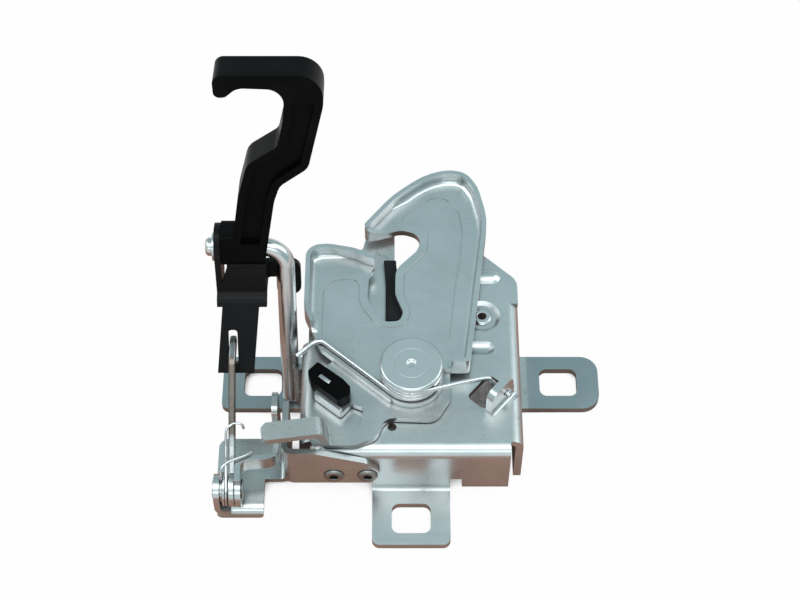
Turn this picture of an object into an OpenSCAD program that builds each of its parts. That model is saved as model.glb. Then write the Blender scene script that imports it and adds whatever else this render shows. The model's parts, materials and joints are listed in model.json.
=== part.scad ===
// Bonnet latch: a pressed tray with a sprung double-notch hook, a release lever, and a hand lever on a
// bent bar that works a small crank at the tray's front left corner.
// The origin lies midway between the two side ear holes, on the underside of the ears.

/* [Base plate] */
// Thickness of the tray's sheet
sheet_t = 3; // [2:0.5:4]
// Inside radius of the tray's folds
fold_r = 1.5; // [1:0.5:3]
// Width of the tray over its side walls
plate_w = 85; // [80:1:95]
// Height of the tray's top above the underside of the ears
tray_h = 30; // [28:1:36]
// Distance from the side ear holes' line forward to the pivot
pivot_ahead = 18; // [14:1:20]
// Distance from the pivot forward to the front wall's outer face
front_reach = 30; // [29:0.5:34]
// Distance from the pivot back to the tray's far edge
far_reach = 64; // [60:1:70]
// Length of the slanted far corners
far_cut = 14.8; // [10:0.2:18]
// Distance from the pivot back to the end of the side walls
wall_back = 38; // [33:1:40]
// Distance from the pivot back to the end of the left wall
left_wall_back = 20; // [17:1:24]
// Height of the plain walls, from the tray's top down
wall_h = 26; // [20:0.5:26.5]

/* [Ears] */
// Distance between the two side ear holes
ear_span = 118.6; // [116:0.2:126]
// Distance from the side ear holes' line to the front ear hole
ear_front = 61.2; // [60:0.2:70]
// Width of a side ear
ear_w = 24.4; // [20:0.2:28]
// Width of the front ear
front_ear_w = 30; // [24:0.5:34]
// Length of an ear beyond the middle of its hole
ear_end = 16.2; // [12:0.2:20]
// Length of an ear hole, across the tray
hole_l = 15; // [10:0.5:17]
// Width of an ear hole
hole_w = 12.6; // [8:0.2:14]
// Corner radius of an ear hole
hole_r = 3; // [1:0.5:4]
// Corner radius of the right ear
ear_r_right = 7; // [2:0.5:9]
// Corner radius of the left and front ears
ear_r = 3; // [2:0.5:7]

/* [Striker slot] */
// Width of the striker slot
slot_w = 13; // [11:0.5:14]
// Distance from the pivot to the slot's closed end
slot_end = 29; // [27:0.5:31]
// Length of the buffer
buffer_l = 29; // [20:0.5:30]
// Depth of the buffer's seat beside the slot
buffer_seat = 3.5; // [2.5:0.5:4]
// How far the buffer stands into the slot
buffer_proud = 0.7; // [0.4:0.1:1.5]
// Width of the tongues beside the slot
tongue_w = 13; // [10:0.5:15]
// Length of the tongues past the far edge
tongue_l = 9; // [4:0.5:12]

/* [Hook and lever] */
// Thickness of the hook's sheet
hook_t = 3; // [2:0.5:4]
// Height of the hook's rim above its floor
rim_h = 5.5; // [3:0.5:6]
// Thickness of the rim
rim_t = 1.8; // [1.4:0.2:2.6]
// Thickness of the release lever
lever_t = 3; // [2:0.5:4]
// Gap between the tray and the release lever
lever_gap = 0.5; // [0.4:0.1:1]
// Rise of the lever's tab
tab_rise = 9.5; // [8:0.5:11]
// Length of the lever's tab
tab_l = 25.5; // [20:0.5:26]
// Width of the lever's tab
tab_w = 7.6; // [5:0.2:9]
// Height of the cable clip above the lever
clip_h = 6; // [4:0.5:8]

/* [Pivot] */
// Diameter of the pivot rivet's head
head_d = 24; // [22:0.5:26]
// Thickness of the pivot rivet's head
head_t = 2.5; // [1.5:0.5:4]
// Diameter of the pivot rivet's shank
shank_d = 12; // [8:0.5:13]
// Outside diameter of the pivot bush
bush_d = 16; // [15:0.5:17]
// Diameter of the main spring's wire
wire_d = 2; // [1.4:0.1:2.2]

/* [Support bar and handle] */
// Diameter of the support bar
bar_d = 7; // [6:0.5:8]
// Lean of the support bar from upright
bar_lean = 21.5; // [15:0.5:25]
// Length of the bar from its foot to the handle's axis
bar_l = 70.4; // [66:0.2:76]
// Bend radius of the bar
bar_bend_r = 8.2; // [7:0.2:10]
// Length of the bar's level end
bar_level_l = 29.8; // [28.4:0.2:34]
// Lean of the handle from upright
handle_lean = 15; // [10:0.5:18]
// Thickness of the handle's moulding
handle_t = 12.6; // [11:0.2:16]
// Depth of the channel along the stem
channel_d = 2.4; // [1:0.2:3]
// Thickness of the handle bracket's sheet
bracket_t = 2.3; // [1.5:0.1:2.6]
// Width of the handle bracket
bracket_w = 19; // [18:0.2:20]
// Width of the bracket's lower arm
arm_w = 14; // [12:0.5:15]
// Length of the bracket's lower arm
arm_l = 30; // [28:0.5:33]

/* [Crank] */
// Thickness of the crank bracket's sheet
crank_sheet_t = 2.3; // [1.5:0.1:2.5]
// Gap between the tray's left wall and the crank bracket's flange
flange_gap = 4; // [3:0.5:4.5]
// Height of the crank bracket's foot above the underside of the ears
foot_h = 4.5; // [3:0.5:5]
// Radius of the crank's round eyes
eye_r = 6.8; // [5.5:0.1:7]
// Diameter of the crank pin
pin_d = 6; // [4:0.5:7]
// Thickness of the strip lever
strip_t = 2.5; // [2:0.5:3]
// Width of the strip lever
strip_w = 4; // [3:0.5:4.5]
// Thickness of the crank arm
crank_arm_t = 2.2; // [1.5:0.1:2.5]
// Diameter of the crank spring's wire
thin_wire_d = 1; // [0.6:0.1:1.2]

/* [Hidden] */
$fn = 48;

// Fits and margins
running_fit = 0.05;
press_fit = 0.02;
side_play = 0.1;
past = 1;

// Tray
half_w = plate_w / 2;
fold_out = fold_r + sheet_t;
fold_mid = fold_r + sheet_t / 2;
side_fold_x = half_w - fold_out;
front_fold_y = -front_reach + fold_out;
ear_mid_z = sheet_t / 2 - tray_h;
wall_front = front_fold_y + 0.5;
front_wall_x = side_fold_x - 0.5;
relief_w = 4.6;
relief_h = 6;
left_edge_x = half_w - 2.5;
behind_bracket_h = 4;
small_hole = [-7.3, -18.6];
small_hole_d = 3.4;
buffer_x = -slot_w / 2 - buffer_seat;

// Stack on the pivot, above the tray's top
lever_top = lever_gap + lever_t;
floor_top = lever_top + hook_t;
hook_right = 22.4;
hook_far = 95.9;
hook_left = -41.6;
rim_top = floor_top + rim_h;
spring_r = bush_d / 2 + 1.8 + wire_d / 2;
spring_pitch = wire_d + 0.05;
spring_turns = 2.154;
spring_low = floor_top + wire_d / 2 + 0.1;
spring_high = spring_low + spring_turns * spring_pitch;
head_low = spring_high + wire_d / 2 + 0.2;
hub_r = head_d / 2 + 0.4;

// Spring lug: its left end, its direction, and the sheet that it was turned up from
lug_x = side_fold_x - 9.7;
lug_y = -11.2;
lug_turn = 50;
lug_w = 13.5;
lug_h = 12;
lug_eye = [8.4, 5.4];
lug_eye_r = wire_d / 2 + 0.3;

// Boss for a switch, with its rivet
boss_x = side_fold_x - 10;
boss_y = 32;
boss_r = 7.3;
boss_dip = 1;
tube_rivet_r = 2.4;
tube_bore_r = 1.7;
tube_head_r = 3.9;
tube_head_t = 1.1;

// Support bar and handle, in the row's frame
bar_r = bar_d / 2;
bar_gap = 1.6;
bar_x = -half_w - bar_r - bar_gap;
bar_foot = [-8.2, 6];
handle_y = bar_foot[0] + bar_l * sin(bar_lean);
handle_z = bar_foot[1] + bar_l * cos(bar_lean);
bend_x = bar_x - bar_bend_r;
bracket_right = bend_x + 1.05;
bracket_left = bracket_right - bracket_w;
plate_y = -handle_t / 2 + 1.4;
fold_z = -17.2;
arm_drop = 72;
ledge_out = 2.9;
ledge_drop = 1.6;
handle_bush_r = bar_r + 1.35;
stop_y = bar_r + 0.45;
arm_mid_x = bracket_left + 9;

// Crank, from the tray's corner outwards
flange_out = -half_w - flange_gap - crank_sheet_t;
nose_right = flange_out - 1.7;
crank_front_y = -pivot_ahead - front_reach;
crank_y = crank_front_y - 5.4;
crank_z = foot_h + eye_r + 0.7;
strip_x = arm_mid_x - 3.5 - strip_t / 2;
crank_arm_x = strip_x + strip_t + side_play;
spacer_l = 3.3;
crank_lug_x = strip_x - side_play - spacer_l - crank_sheet_t;
pin_r = pin_d / 2;
pin_head_r = pin_r + 0.8;
pin_head_t = 0.5;
foot_front_y = crank_y - eye_r + 0.8;
foot_back_y = -27;
flange_top = tray_h + 3.4;
front_rivets = [side_fold_x - 67.4, side_fold_x - 54.6];
front_rivet_z = tray_h - 12.8;

// Rounded outlines. A point is [x, y, corner radius]; its radius is 0 where it is left out.
function flat(p) = [p.x, p.y];
function radius(p) = len(p) > 2 ? p[2] : 0;
function unit(v) = v / norm(v);
function turn_side(u, v) = sign(v.x * u.y - v.y * u.x);
function half_angle(u, v) = acos(max(-1, min(1, u * v))) / 2;

// A corner point moved sideways by d, to the left of the way the outline runs
function moved_corner(a, b, c, d) =
    let (u = unit(flat(a) - flat(b)), v = unit(flat(c) - flat(b)), s = turn_side(u, v))
    let (p = flat(b) + unit(u + v) * s * d / sin(half_angle(u, v)))
    [p.x, p.y, max(0, radius(b) - s * d)];

// An end point moved sideways by d, square to the way from a to b
function moved_end(p, a, b, d) =
    let (way = unit(flat(b) - flat(a)))
    [p.x - way.y * d, p.y + way.x * d];

// A closed outline moved inwards by d
function inset(points, d) =
    let (n = len(points))
    [for (i = [0:n - 1]) moved_corner(points[(i + n - 1) % n], points[i], points[(i + 1) % n], d)];

// The points of one rounded corner
function arc_points(c, r, a, sweep) =
    let (steps = max(1, ceil(abs(sweep) / 11)))
    [for (i = [0:steps]) c + r * [cos(a + sweep * i / steps), sin(a + sweep * i / steps)]];
function corner_points(a, b, c) =
    let (r = radius(b), p = flat(b), u = unit(flat(a) - p), v = unit(flat(c) - p), h = half_angle(u, v))
    r == 0 ? [p] :
    let (mid = p + unit(u + v) * r / sin(h), from = p + u * r / tan(h) - mid)
    arc_points(mid, r, atan2(from.y, from.x), turn_side(u, v) * (180 - 2 * h));

// A closed outline with its corners rounded
function rounded(points) =
    let (n = len(points))
    [for (i = [0:n - 1]) each corner_points(points[(i + n - 1) % n], points[i], points[(i + 1) % n])];

// One side of a ribbon, d to the left of its middle line
function ribbon_side(points, d) =
    let (n = len(points))
    let (side = [for (i = [0:n - 1])
        i == 0 ? moved_end(points[0], points[0], points[1], d) :
        i == n - 1 ? moved_end(points[i], points[i - 1], points[i], d) :
        moved_corner(points[i - 1], points[i], points[i + 1], d)])
    [for (i = [0:n - 1]) each
        i == 0 || i == n - 1 ? [flat(side[i])] : corner_points(side[i - 1], side[i], side[i + 1])];
function reversed(list) = [for (i = [len(list) - 1:-1:0]) list[i]];

// A folded sheet seen on edge: a middle line with rounded folds, and a thickness
module ribbon(points, t) {
    polygon(concat(ribbon_side(points, t / 2), reversed(ribbon_side(points, -t / 2))));
}

module rounded_shape(points) {
    polygon(rounded(points));
}

module rounded_box(l, w, r) {
    rounded_shape([[-l / 2, -w / 2, r], [l / 2, -w / 2, r], [l / 2, w / 2, r], [-l / 2, w / 2, r]]);
}

// A flat shape drawn in Y and Z, made solid from x along X
module along_x(x, l) {
    translate([x, 0, 0]) rotate([90, 0, 90]) linear_extrude(l) children();
}

// A flat shape drawn in X and Z, made solid from y along Y
module along_y(y, l) {
    translate([0, y + l, 0]) rotate([90, 0, 0]) linear_extrude(l) children();
}

// A round bar along X
module rod_x(x, l, r) {
    translate([x, 0, 0]) rotate([0, 90, 0]) cylinder(h = l, r = r);
}

// A wire swept along a path of points; aside is a direction that the wire never runs along
wire_sides = 8;
function way_at(path, i) = unit(path[min(i + 1, len(path) - 1)] - path[max(i - 1, 0)]);
function wire_ring(p, way, r, aside) =
    let (u = unit(cross(way, aside)), v = cross(u, way))
    [for (k = [0:wire_sides - 1]) p + r * (cos(360 * k / wire_sides) * u + sin(360 * k / wire_sides) * v)];
module wire(path, r, aside) {
    n = len(path);
    points = [for (i = [0:n - 1]) each wire_ring(path[i], way_at(path, i), r, aside)];
    skin = [for (i = [0:n - 2], k = [0:wire_sides - 1])
        let (a = i * wire_sides + k, b = i * wire_sides + (k + 1) % wire_sides)
        [a, b, b + wire_sides, a + wire_sides]];
    near_end = [for (k = [wire_sides - 1:-1:0]) k];
    far_end = [for (k = [0:wire_sides - 1]) (n - 1) * wire_sides + k];
    polyhedron(points, concat([near_end, far_end], skin));
}

// The pivot's frame: its axis at X = Y = 0, the tray's top at Z = 0
module at_pivot() {
    translate([0, -pivot_ahead, tray_h]) children();
}

// The handle's frame: its axis along X, its stem along Z
module at_handle() {
    translate([0, handle_y, handle_z]) rotate([-handle_lean, 0, 0]) children();
}

// The crank's frame: its axis along X
module at_crank() {
    translate([0, crank_y, crank_z]) children();
}

// The spring lug's frame: X along the lug, Y to the side that it was cut from
module at_lug() {
    translate([lug_x, lug_y, 0]) rotate([0, 0, lug_turn]) children();
}

// Base plate

module tray_top() {
    tongue_x = slot_w / 2 + tongue_w;
    tongue_y = far_reach + tongue_l;
    translate([0, 0, -sheet_t]) linear_extrude(sheet_t) rounded_shape([
        [-front_wall_x, front_fold_y], [front_wall_x, front_fold_y], [side_fold_x, wall_front],
        [side_fold_x, wall_back], [half_w, wall_back], [half_w, far_reach - far_cut, 7],
        [half_w - far_cut - 1, far_reach, 5],
        [tongue_x, far_reach, 2], [tongue_x - 2, tongue_y, 5],
        [-tongue_x + 2, tongue_y, 5], [-tongue_x, far_reach, 2],
        [-left_edge_x + far_cut + 1, far_reach, 5], [-left_edge_x, far_reach - far_cut, 7],
        [-left_edge_x, left_wall_back], [-side_fold_x, left_wall_back], [-side_fold_x, wall_front]]);
}

module side_wall(back) {
    along_y(wall_front, back - wall_front)
        ribbon([[side_fold_x - 2, -sheet_t / 2], [half_w - sheet_t / 2, -sheet_t / 2, fold_mid],
                [half_w - sheet_t / 2, -wall_h]], sheet_t);
}

// A side ear; behind the wall's end only its level part is left
module side_ear(corner_r, back) {
    tip = ear_span / 2 + ear_end;
    difference() {
        whole_ear(corner_r, tip);
        translate([0, back, -tray_h - past])
            cube([half_w + fold_r, max(past, pivot_ahead + ear_w / 2 - back + past), tray_h + 2 * past]);
    }
}

module whole_ear(corner_r, tip) {
    intersection() {
        along_y(pivot_ahead - ear_w / 2, ear_w)
            ribbon([[side_fold_x - 2, -sheet_t / 2], [half_w - sheet_t / 2, -sheet_t / 2, fold_mid],
                    [half_w - sheet_t / 2, ear_mid_z, fold_mid], [tip, ear_mid_z]], sheet_t);
        translate([0, pivot_ahead, -tray_h - past]) linear_extrude(tray_h + 2 * past)
            rounded_shape([[0, -ear_w / 2], [tip, -ear_w / 2, corner_r], [tip, ear_w / 2, corner_r],
                           [0, ear_w / 2]]);
    }
}

module front_wall() {
    y = -front_reach + sheet_t / 2;
    along_x(-front_wall_x, 2 * front_wall_x)
        ribbon([[front_fold_y + 2, -sheet_t / 2], [y, -sheet_t / 2, fold_mid], [y, -wall_h]], sheet_t);
}

module front_ear() {
    y = -front_reach + sheet_t / 2;
    tip = pivot_ahead - ear_front - ear_end + 5;
    intersection() {
        along_x(-front_ear_w / 2, front_ear_w)
            ribbon([[front_fold_y + 2, -sheet_t / 2], [y, -sheet_t / 2, fold_mid], [y, ear_mid_z, fold_mid],
                    [tip, ear_mid_z]], sheet_t);
        translate([0, 0, -tray_h - past]) linear_extrude(tray_h + 2 * past)
            rounded_shape([[-front_ear_w / 2, 0], [-front_ear_w / 2, tip, ear_r],
                           [front_ear_w / 2, tip, ear_r], [front_ear_w / 2, 0]]);
    }
}

// A long bead with round ends, standing proud of the tray's top or cut into it
module bead(x0, x1, y, w, h) {
    r = (w * w / 4 + h * h) / (2 * h);
    translate([0, y, h - r]) intersection() {
        union() {
            rod_x(x0 + w / 2, x1 - x0 - w, r);
            translate([x0 + w / 2, 0, 0]) sphere(r);
            translate([x1 - w / 2, 0, 0]) sphere(r);
        }
        translate([x0 - past, -w, r - h - sheet_t / 2]) cube([x1 - x0 + 2 * past, 2 * w, h + sheet_t]);
    }
}

module spring_lug() {
    at_lug() intersection() {
        along_x(0, lug_w)
            ribbon([[-fold_out - past, -sheet_t / 2], [-sheet_t / 2, -sheet_t / 2, fold_mid],
                    [-sheet_t / 2, lug_h]], sheet_t);
        along_y(-fold_out - 2 * past, fold_out + 3 * past)
            rounded_shape([[0, -sheet_t], [lug_w, -sheet_t], [lug_w, 4, 2], [lug_w - 1.5, lug_h, 3.5],
                           [0, lug_h, 3.5]]);
    }
}

module ear_holes() {
    for (p = [[-ear_span / 2, pivot_ahead], [ear_span / 2, pivot_ahead], [0, pivot_ahead - ear_front]])
        translate([p.x, p.y, -tray_h - past]) linear_extrude(sheet_t + 2 * past)
            rounded_box(hole_l, hole_w, hole_r);
}

module striker_slot() {
    seat_far = slot_end + buffer_l;
    mouth = far_reach + tongue_l + past;
    translate([0, 0, -sheet_t - past]) linear_extrude(sheet_t + 2 * past) rounded_shape([
        [buffer_x, slot_end], [slot_w / 2, slot_end, 6], [slot_w / 2, mouth], [-slot_w / 2, mouth],
        [-slot_w / 2, seat_far], [buffer_x, seat_far]]);
}

module tray_cuts() {
    ear_holes();
    striker_slot();
    translate([0, 0, -sheet_t - past]) cylinder(h = sheet_t + 2 * past, r = shank_d / 2 + press_fit);
    translate([boss_x, boss_y, -boss_dip])
        cylinder(h = boss_dip + 0.01, r1 = boss_r - 1.6, r2 = boss_r);
    translate([boss_x, boss_y, -sheet_t - boss_dip - past])
        cylinder(h = sheet_t + boss_dip + 2 * past, r = tube_rivet_r + press_fit);
    for (x = front_rivets)
        translate([x, -front_reach - past, front_rivet_z - tray_h]) rotate([-90, 0, 0])
            cylinder(h = sheet_t + 2 * past, r = tube_rivet_r + press_fit);
    for (side = [-1, 1])
        translate([side * (front_ear_w / 2 + relief_w / 2) - relief_w / 2, -front_reach - past, -wall_h - past])
            cube([relief_w, sheet_t + 2 * past, relief_h + past]);
    translate([-front_wall_x - past, -front_reach - past, -wall_h - past])
        cube([front_wall_x - front_ear_w / 2 - relief_w / 2 + past, sheet_t + 2 * past, behind_bracket_h + past]);
    translate([small_hole[0], small_hole[1], -sheet_t - past]) cylinder(h = sheet_t + 2 * past, d = small_hole_d);
    at_lug() translate([lug_w / 2, fold_out + 0.3, -sheet_t - past]) linear_extrude(sheet_t + 2 * past)
        rounded_box(lug_w, 2 * fold_out, 2);
    at_lug() translate([lug_eye[0], -sheet_t - past, lug_eye[1]]) rotate([-90, 0, 0])
        cylinder(h = sheet_t + 2 * past, r = lug_eye_r);
}

module base_plate() {
    color("#94afb2") at_pivot() difference() {
        union() {
            difference() {
                union() {
                    tray_top();
                    side_wall(wall_back);
                    mirror([1, 0, 0]) side_wall(left_wall_back);
                    side_ear(ear_r_right, wall_back);
                    mirror([1, 0, 0]) side_ear(ear_r, left_wall_back);
                    front_wall();
                    front_ear();
                    translate([boss_x, boss_y, -sheet_t - boss_dip]) cylinder(h = boss_dip + 0.5, r = boss_r - 1);
                    bead(8, side_fold_x - 2.2, 51, 6.8, 1.5);
                }
                translate([0, 0, -1.3]) mirror([0, 0, 1]) translate([0, 0, -1.3])
                    bead(20, side_fold_x - 5.5, 17, 6, 1.2);
            }
            spring_lug();
        }
        tray_cuts();
    }
}

// A rubber strip with a groove that grips the edge of the tray beside the slot
module slot_buffer() {
    lip_t = 1.6;
    lip_over = 1.6;
    face_x = -slot_w / 2 + buffer_proud;
    near = slot_end + side_play;
    far = slot_end + buffer_l - side_play;
    color("#17181a") at_pivot() {
        along_y(near, far - near) difference() {
            rounded_shape([[buffer_x - lip_over, -sheet_t - lip_t, 0.6], [face_x, -sheet_t - lip_t, 0.6],
                           [face_x, past], [buffer_x - lip_over, past]]);
            translate([buffer_x - lip_over - past, -sheet_t]) square([lip_over + past, sheet_t + 2 * past]);
        }
        linear_extrude(lip_t) rounded_shape([
            [buffer_x - 0.8, far, 0.4], [buffer_x + 1.2, near, 0.4], [face_x + 2.4, near, 1.5],
            [face_x + 2.4, near + 4, 3], [face_x - 0.2, far, 0.4]]);
    }
}

// A tubular rivet along Z: its head above z = 0, its turned-over end under the depth
module tube_rivet(depth) {
    difference() {
        rotate_extrude() polygon([[0, -depth - tube_head_t], [tube_head_r - 0.4, -depth - tube_head_t],
            [tube_head_r - 0.4, -depth], [tube_rivet_r, -depth], [tube_rivet_r, 0], [tube_head_r, 0],
            [tube_head_r, tube_head_t * 0.4], [tube_head_r - 0.7, tube_head_t], [0, tube_head_t]]);
        translate([0, 0, -depth - 2 * tube_head_t])
            cylinder(h = depth + 4 * tube_head_t, r = tube_bore_r);
    }
}

module boss_rivet() {
    color("#8f9a9c") at_pivot() translate([boss_x, boss_y, -boss_dip]) tube_rivet(sheet_t);
}

// A turned rivet: ringed head with a dimple, shank through the bush and the tray, closed end below
module pivot_rivet() {
    r = head_d / 2;
    top = head_low + head_t;
    foot_t = 2.4;
    color("#a9b7b8") at_pivot() rotate_extrude() polygon([
        [0, -sheet_t - foot_t], [shank_d / 2 + 2, -sheet_t - foot_t], [shank_d / 2 + 3, -sheet_t - 1],
        [shank_d / 2 + 3, -sheet_t], [shank_d / 2, -sheet_t], [shank_d / 2, head_low], [r - 0.6, head_low],
        [r, head_low + 0.6], [r, top - 0.7], [r - 0.7, top], [r * 0.58, top], [r * 0.54, top - 0.15],
        [r * 0.5, top], [1.9, top], [1.3, top - 0.6], [0, top - 0.8]]);
}

module pivot_bush() {
    color("#b59a56") at_pivot() rotate_extrude() polygon([
        [shank_d / 2 + press_fit, 0], [bush_d / 2 + 3, 0], [bush_d / 2 + 3, lever_gap - side_play],
        [bush_d / 2, lever_gap - side_play], [bush_d / 2, head_low], [shank_d / 2 + press_fit, head_low]]);
}

// Main spring: an arm along the hook, the coil, and an arm through the lug's eye
spring_start = 229;
spring_steps = 36;
function spring_point(f) =
    let (a = spring_start + f * spring_turns * 360)
    [spring_r * cos(a), spring_r * sin(a), spring_low + f * spring_turns * spring_pitch];
left_arm_way = [-sin(spring_start), cos(spring_start), 0];
function left_arm(l) = spring_point(0) - left_arm_way * l;
spring_tail = [
    [hook_left - 2.5, 11.4, floor_top - 3.3], [hook_left + 1.4, 13.4, floor_top - 0.9],
    [hook_left + 4.2, 14.7, floor_top + 0.8], [hook_left + 6.6, 15.1, floor_top + 1.4],
    [hook_left + 8.4, 14.4, floor_top + 1.25]];
lug_way = [cos(lug_turn), sin(lug_turn), 0];
lug_face = [lug_x, lug_y, 0] + lug_way * lug_eye[0];
lug_square = [sin(lug_turn), -cos(lug_turn), 0];
spring_path = concat(
    spring_tail, [left_arm(31), left_arm(21), left_arm(11)],
    [for (i = [0:spring_steps]) spring_point(i / spring_steps)],
    [lug_face - lug_way * 3.5 - lug_square * 6.5 + [0, 0, lug_eye[1] + 4.6],
     lug_face - lug_way * 0.8 - lug_square * 3.6 + [0, 0, lug_eye[1] + 2.4],
     lug_face - lug_square * 1.5 + [0, 0, lug_eye[1] + 0.2],
     lug_face + lug_square * (sheet_t + 2) + [0, 0, lug_eye[1] - 0.1]]);
module main_spring() {
    color("#b9c0c4") at_pivot() wire(spring_path, wire_d / 2, [0, 0, 1]);
}

// Support bar: a leaning stem against the left wall, a bend, and a level end along X
module support_rod() {
    color("#aab3b5") translate([bar_x, bar_foot[0], bar_foot[1]]) rotate([-bar_lean, 0, 0]) {
        cylinder(h = bar_l - bar_bend_r, r = bar_r);
        translate([-bar_bend_r, 0, bar_l - bar_bend_r]) rotate([90, 0, 0])
            rotate_extrude(angle = 90) translate([bar_bend_r, 0]) circle(bar_r);
        translate([-bar_bend_r, 0, bar_l]) rotate([0, -90, 0]) {
            cylinder(h = bar_level_l - bar_bend_r - 0.8, r = bar_r);
            translate([0, 0, bar_level_l - bar_bend_r - 0.8]) cylinder(h = 0.8, r1 = bar_r, r2 = bar_r - 0.8);
        }
    }
}

// Weld along the front of the bar, where it meets the wall
module rod_weld() {
    bead_r = 2.4;
    bead_l = 13;
    color("#8d9797") translate([bar_x, bar_foot[0], bar_foot[1]]) rotate([-bar_lean, 0, 0])
        translate([bar_r + bar_gap - bead_r + 0.6, -bar_r + 1.4, 1.5]) {
            cylinder(h = bead_l, r = bead_r);
            sphere(bead_r);
            translate([0, 0, bead_l]) sphere(bead_r);
        }
}

// Push-on ring that keeps the handle on the bar
module rod_end_ring() {
    ring_t = 1;
    color("#777d80") translate([0, handle_y, handle_z]) difference() {
        rod_x(bracket_left - side_play - ring_t, ring_t, bar_r + 1.9);
        rod_x(bracket_left - side_play - ring_t - past, ring_t + 2 * past, bar_r + press_fit);
    }
}

// Crank bracket: a plate on the front wall, a flange back along the side, a foot out to the left, and a lug
module crank_bracket() {
    t = crank_sheet_t;
    mid_y = crank_front_y - t / 2;
    mid_x = flange_out + t / 2;
    foot_mid = foot_h - t / 2;
    bend = 3;
    tip_x = front_rivets[1] + 5;
    inner_x = crank_arm_x + crank_arm_t + 8;
    lip_y = foot_front_y + t / 2;
    lug_mid = crank_lug_x + t / 2;
    lug_half = eye_r - 1;
    color("#8f8a84") difference() {
        union() {
            intersection() {
                translate([0, 0, foot_h]) linear_extrude(flange_top)
                    ribbon([[tip_x, mid_y], [mid_x, mid_y, bend], [mid_x, foot_back_y]], t);
                union() {
                    along_y(crank_front_y - t - past, t + bend + past) rounded_shape([
                        [flange_out - past, front_rivet_z - 5.8], [tip_x - 2, front_rivet_z - 5.8, 3.5],
                        [tip_x, front_rivet_z + 2, 5], [tip_x - 5, front_rivet_z + 9, 4],
                        [front_rivets[0] - 7, flange_top, 8], [flange_out - past, flange_top]]);
                    translate([flange_out - past, crank_front_y + bend - past, foot_h])
                        cube([t + 2 * past, foot_back_y - crank_front_y, flange_top - foot_h]);
                }
            }
            along_y(crank_front_y + bend, foot_back_y - crank_front_y - bend)
                ribbon([[mid_x, foot_h + 8], [mid_x, foot_mid, bend], [crank_lug_x + 8, foot_mid]], t);
            translate([0, 0, foot_h - t]) linear_extrude(t) rounded_shape([
                [crank_lug_x + 2, foot_front_y + 4], [inner_x, foot_front_y + 4],
                [inner_x, crank_front_y + bend + 1, 2], [inner_x + 3, crank_front_y + bend + 1],
                [inner_x + 3, foot_back_y], [crank_lug_x, foot_back_y, 4],
                [crank_lug_x, crank_y + eye_r, 1], [crank_lug_x + 2, crank_y + eye_r]]);
            intersection() {
                along_x(crank_lug_x, inner_x - crank_lug_x)
                    ribbon([[foot_front_y + 6, foot_mid], [lip_y, foot_mid, bend], [lip_y, -past]], t);
                along_y(foot_front_y - past, 8) rounded_shape([
                    [crank_lug_x + 0.6, 0, 2.4], [inner_x, 0, 1.6], [inner_x, foot_h], [crank_lug_x + 0.6, foot_h]]);
            }
            intersection() {
                along_y(crank_y - eye_r, 2 * eye_r)
                    ribbon([[crank_lug_x + 6, foot_mid], [lug_mid, foot_mid, bend],
                            [lug_mid, crank_z + eye_r + past]], t);
                along_x(crank_lug_x - past, 8) union() {
                    translate([crank_y, crank_z]) circle(lug_half);
                    translate([crank_y - lug_half, 0]) square([2 * lug_half, crank_z]);
                }
            }
        }
        at_crank() rod_x(crank_lug_x - past, t + 2 * past, pin_r + press_fit);
        for (x = front_rivets)
            translate([x, crank_front_y - t - past, front_rivet_z]) rotate([-90, 0, 0])
                cylinder(h = t + 2 * past, r = tube_rivet_r + press_fit);
    }
}

module bracket_rivets() {
    color("#6f6660") for (x = front_rivets)
        translate([x, crank_front_y - crank_sheet_t, front_rivet_z]) rotate([90, 0, 0])
            tube_rivet(crank_sheet_t + sheet_t);
}

// Crank pin: riveted in the lug, with a head past the crank arm
module crank_pin() {
    inner_end = crank_arm_x + crank_arm_t + side_play;
    color("#a3abad") at_crank() {
        rod_x(crank_lug_x - pin_head_t, pin_head_t, pin_head_r);
        rod_x(crank_lug_x - pin_head_t, inner_end - crank_lug_x + pin_head_t, pin_r);
        rod_x(inner_end, pin_head_t, pin_head_r);
    }
}

module crank_spacer() {
    color("#9aa2a4") at_crank() difference() {
        rod_x(strip_x - side_play - spacer_l, spacer_l, pin_r + 1.9);
        rod_x(strip_x - side_play - spacer_l - past, spacer_l + 2 * past, pin_r + press_fit);
    }
}

// Hook

hook_outline = [
    [hook_right, 3.2, 2], [hook_right + 8.4, 71, 30], [hook_right + 4.9, hook_far - 8.4, 18],
    [hook_right + 0.2, hook_far - 1.3, 8], [16, hook_far + 0.3, 14], [6, hook_far - 2, 28],
    [-7.5, hook_far - 13, 40], [-21, 65.4, 2], [-13.5, 66.4, 12], [-3.5, 69.5, 8], [5, 66.3, 5],
    [2.4, 59, 6], [-6, 50, 8], [-6.2, 38, 10], [-3, 29.4, 3], [-4.4, 25.4, 2.5], [-12.5, 24.7, 6],
    [-17.2, 36, 14], [-16.6, 48, 6], [-13.2, 52, 2], [-22, 56.6, 14], [hook_left + 8.4, 58.9, 14],
    [hook_left, 57.6, 6], [hook_left, 28, 8], [hook_left + 6.6, 12.6, 3], [-8, -10.6], [12, 3.2]];
rim_right = [[16, 2], [60, 2], [60, 130], [-30, 130], [-30, 60], [-9, 60], [-9, 69], [-2, 76], [10, 84],
             [19, 78], [17, 40]];
mouth_side = [[-21 + 0.8 * rim_t, 60], [-8, 60], [-8, 79.2], [-21 + 0.8 * rim_t, 64.2]];
rim_left = [[-70, 22], [hook_left + 3.4, 22], [hook_left + 3.4, 52], [-28, 55.5], [-12, 50.5], [-8, 58],
            [-20, 70], [-70, 70]];
pan_dip = 0.5;
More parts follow.
